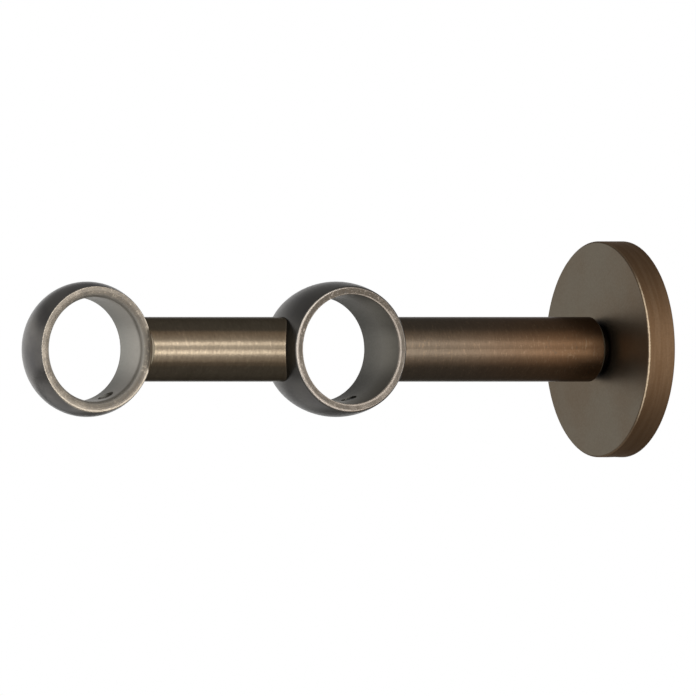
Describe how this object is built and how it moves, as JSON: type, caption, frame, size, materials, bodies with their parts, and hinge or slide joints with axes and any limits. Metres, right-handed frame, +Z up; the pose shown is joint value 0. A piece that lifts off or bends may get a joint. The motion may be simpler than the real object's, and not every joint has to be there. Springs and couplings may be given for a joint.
{
  "type": "double curtain pole bracket",
  "caption": "Wall bracket for parallel curtain poles: a round rosette carries straight round stems in line, with a wide barrel ring midway and a narrow ball ring at the end.",
  "frame": {"origin": "centre of the rosette's back, on the wall plane", "axes": "+Y into the wall, so the stems run out into the room along -Y; +Z up; the poles run along X"},
  "size_m": [0.04, 0.1262, 0.04],
  "materials": {
    "stem_bronze": "antique bronze plating, brushed around the bar",
    "ring_bronze": "antique bronze plating, dark outside, rubbed bright on the faces",
    "rosette_bronze": "antique bronze plating, satin",
    "zinc_plate": "bright zinc plating",
    "screw_steel": "blackened steel"
  },
  "bodies": {
    "bracket": {"rosette": "rosette_bronze", "wall_plate": "zinc_plate", "stem_screw": "screw_steel", "rear_stem": "stem_bronze", "rear_ring": "ring_bronze", "front_stem": "stem_bronze", "front_ring": "ring_bronze"},
    "rear_clamp": {"rear_clamp_screw": "screw_steel"},
    "front_clamp": {"front_clamp_screw": "screw_steel"},
    "rosette_lock": {"rosette_lock_screw": "screw_steel"}
  },
  "joints": [
    {"name": "front_clamp_travel", "type": "slide", "parent": "bracket", "child": "front_clamp", "axis": [0, -0.4384, 0.8988], "range_m": [-0.001, 0.0011]},
    {"name": "rear_clamp_travel", "type": "slide", "parent": "bracket", "child": "rear_clamp", "axis": [0, -0.309, 0.9511], "range_m": [-0.001, 0.00065]},
    {"name": "rosette_lock_travel", "type": "slide", "parent": "bracket", "child": "rosette_lock", "axis": [0, 0, -1], "range_m": [0, 0.0015]}
  ]
}
